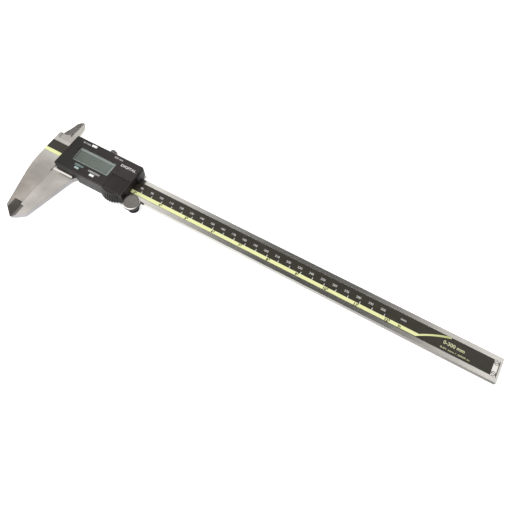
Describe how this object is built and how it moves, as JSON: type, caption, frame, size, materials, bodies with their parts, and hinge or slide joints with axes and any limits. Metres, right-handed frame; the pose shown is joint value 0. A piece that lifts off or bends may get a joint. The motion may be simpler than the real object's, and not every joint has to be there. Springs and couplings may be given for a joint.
{
  "type": "digital caliper",
  "caption": "Long digital caliper: a steel beam with fixed jaws and a scale, and a slider with the other jaws, a display housing, a depth bar, a clamping screw and a thumb roller.",
  "frame": {"origin": "middle of the flat face on the slider's back that the closed caliper rests on", "axes": "+X along the beam to its free end, +Y to the inside jaws, +Z out of the display; the measuring faces of the closed jaws lie at x = -0.038 m"},
  "size_m": [0.409, 0.1095, 0.0156],
  "materials": {
    "ground_steel": "ground",
    "bright_steel": "satin",
    "roller_steel": "satin",
    "screw_steel": "turned",
    "dark_steel": "blackened",
    "brass": "satin",
    "black_plastic": "fine moulded grain",
    "dark_grey_plastic": "smooth moulded",
    "inner_plastic": "moulded",
    "circuit_board": "solder mask",
    "printed_film": "satin printed",
    "display": "satin",
    "clear_window": "polished",
    "white_plastic": "satin",
    "teal_plastic": "satin",
    "grey_rubber": "matte",
    "black_rubber": "matte"
  },
  "bodies": {
    "beam": {"main_beam": "ground_steel", "scale_board": "circuit_board", "scale_label": "printed_film", "end_stop_plate": "bright_steel", "end_stop_screws": "screw_steel"},
    "slider": {"slider_frame": "ground_steel", "gib_strip": "brass", "gib_screws": "screw_steel", "clamp_pad": "brass", "back_plate": "bright_steel", "back_plate_screws": "screw_steel", "depth_bar": "ground_steel", "depth_bar_pins": "screw_steel", "base_plate": "inner_plastic", "housing": "black_plastic", "housing_screws": "screw_steel", "sensor_board": "circuit_board", "pin_header": "inner_plastic", "main_board": "circuit_board", "main_chip": "inner_plastic", "lcd_panel": "display", "lcd_frame": "inner_plastic", "lcd_window": "clear_window", "zebra_strips": "grey_rubber", "button_pads": "grey_rubber", "battery": "bright_steel", "battery_contacts": "brass", "data_connector": "inner_plastic", "roller_bracket": "dark_steel", "bracket_screws": "screw_steel", "roller_axle": "screw_steel"},
    "lock_screw": {"lock_screw": "bright_steel"},
    "thumb_roller": {"thumb_roller": "roller_steel", "roller_wheel": "black_rubber"},
    "inch_mm_button": {"inch_mm_button": "white_plastic"},
    "zero_button": {"zero_button": "teal_plastic"},
    "origin_button": {"origin_button": "white_plastic"},
    "battery_cover": {"battery_cover": "black_plastic"},
    "data_port_cover": {"data_port_cover": "dark_grey_plastic"}
  },
  "joints": [
    {"name": "slider_travel", "type": "slide", "parent": "beam", "child": "slider", "axis": [1, 0, 0], "range_m": [0, 0.3]},
    {"name": "lock_turn", "type": "hinge", "parent": "slider", "child": "lock_screw", "pos_m": [-0.0045, 0.02, 0.0042], "axis": [0, 1, 0], "range_deg": [-180, 180]},
    {"name": "roller_turn", "type": "hinge", "parent": "slider", "child": "thumb_roller", "pos_m": [0.042, -0.01522, 0.0076], "axis": [0, 0, 1], "continuous": true},
    {"name": "inch_mm_press", "type": "slide", "parent": "slider", "child": "inch_mm_button", "axis": [0, 0, -1], "range_m": [0, 0.0005]},
    {"name": "zero_press", "type": "slide", "parent": "slider", "child": "zero_button", "axis": [0, 0, -1], "range_m": [0, 0.0005]},
    {"name": "origin_press", "type": "slide", "parent": "slider", "child": "origin_button", "axis": [0, 0, -1], "range_m": [0, 0.0005]},
    {"name": "battery_cover_slide", "type": "slide", "parent": "slider", "child": "battery_cover", "axis": [0, -1, 0], "range_m": [0, 0.012]},
    {"name": "port_cover_slide", "type": "slide", "parent": "slider", "child": "data_port_cover", "axis": [1, 0, 0], "range_m": [0, 0.006]}
  ],
  "couplings": [
    {"joint": "roller_turn", "follows": "slider_travel", "rad_per_m": 192.31}
  ]
}
